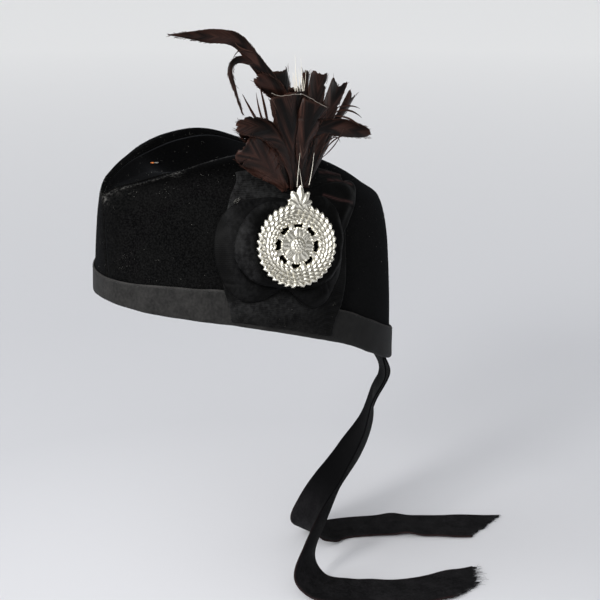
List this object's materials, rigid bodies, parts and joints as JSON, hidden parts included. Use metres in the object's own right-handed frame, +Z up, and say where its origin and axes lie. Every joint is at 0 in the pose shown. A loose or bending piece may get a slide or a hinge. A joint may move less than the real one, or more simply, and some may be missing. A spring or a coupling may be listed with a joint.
{
  "type": "glengarry",
  "caption": "Boat-shaped velvet cap with a ribbon-bound rim, a silk cockade with a pierced metal badge and feather plume on its left side, and ribbon tails at the back.",
  "frame": {"origin": "middle of the oval opening for the head, level with the rim at the ears", "axes": "+Z up as worn, -Y to the front of the cap, +X to the wearer's left, where the badge is"},
  "size_m": [0.1704, 0.3312, 0.395],
  "materials": {
    "velvet": "black cotton velvet with a short pile",
    "ribbon": "matt charcoal woven ribbon",
    "silk": "black ribbed silk, slightly glossy",
    "white_metal": "cast white metal, polished on its high points",
    "feather": "dark brown feather, reddish at its edges"
  },
  "bodies": {
    "root": {"side_left": "velvet", "side_right": "velvet", "crown_top": "velvet", "rim_binding": "ribbon", "tail_left": "ribbon", "tail_right": "ribbon", "cockade_patch": "silk", "cockade_bow": "silk", "cockade_ring": "silk", "badge": "white_metal", "plume": "feather"}
  },
  "joints": []
}
